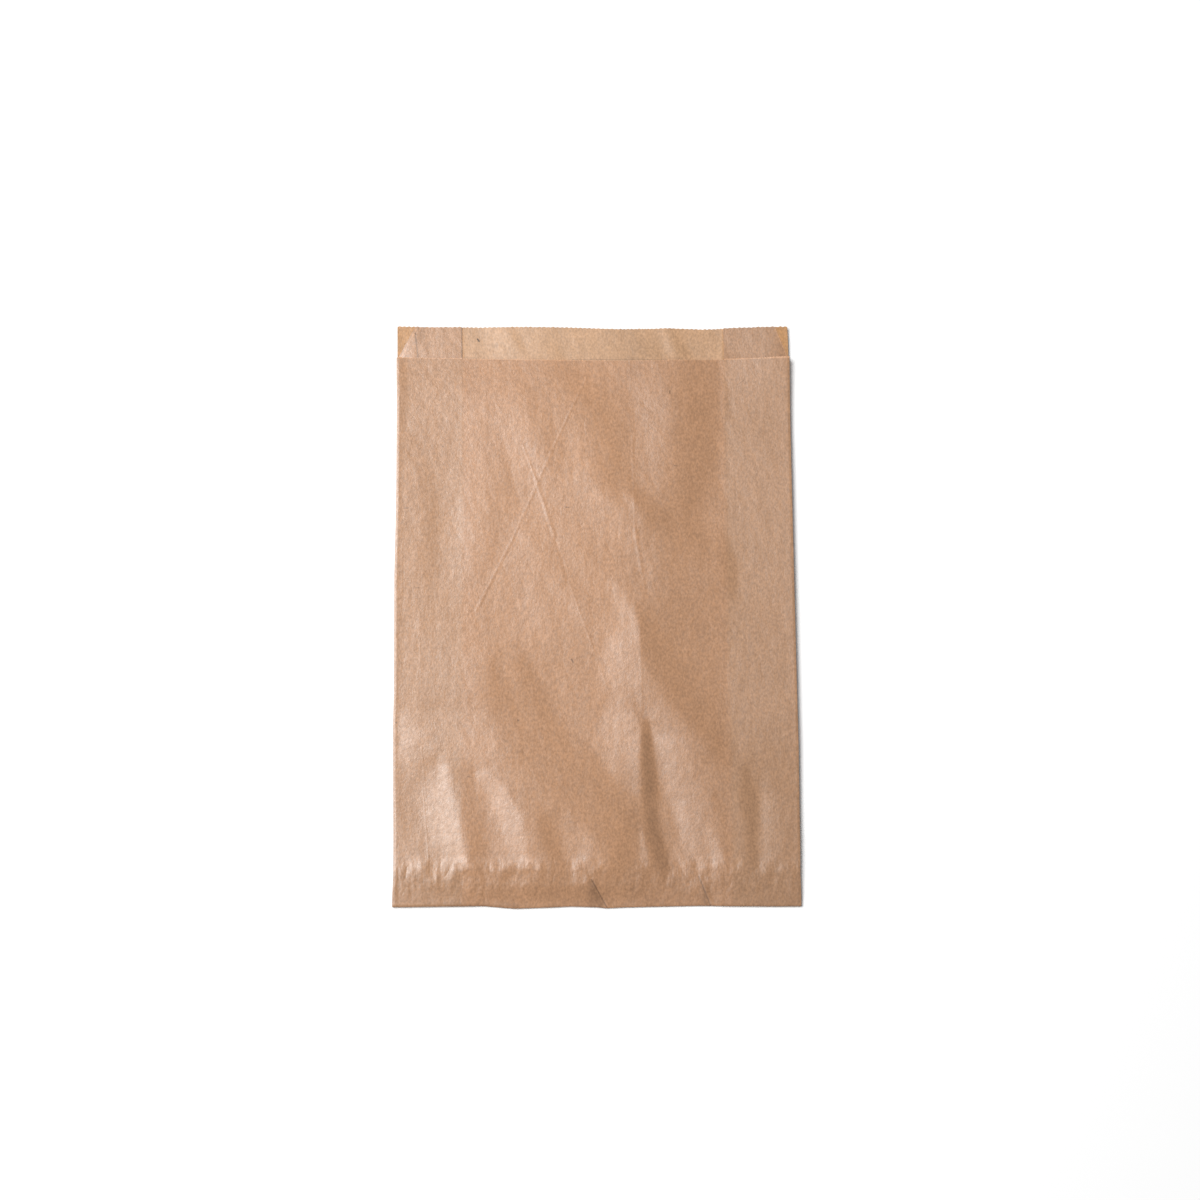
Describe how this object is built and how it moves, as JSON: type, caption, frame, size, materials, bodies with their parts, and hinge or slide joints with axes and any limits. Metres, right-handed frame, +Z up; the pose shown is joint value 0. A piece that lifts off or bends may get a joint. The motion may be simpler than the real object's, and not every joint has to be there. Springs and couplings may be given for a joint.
{
  "type": "paper pastry bag",
  "caption": "Flat brown kraft paper bag with tucked side gussets, a pinked lip at its open mouth, a glued back seam and a glued fold-under bottom flap.",
  "frame": {"origin": "centre of the bag's underside: the bag lies flat on its back, on z = 0", "axes": "+Y from the glued bottom towards the open mouth, +X across to the right as seen from the front, +Z up out of the front ply"},
  "size_m": [0.18, 0.265, 0.0048],
  "materials": {
    "kraft_paper": "unbleached kraft, one side lightly glazed"
  },
  "bodies": {
    "root": {"pastry_bag": "kraft_paper"}
  },
  "joints": []
}
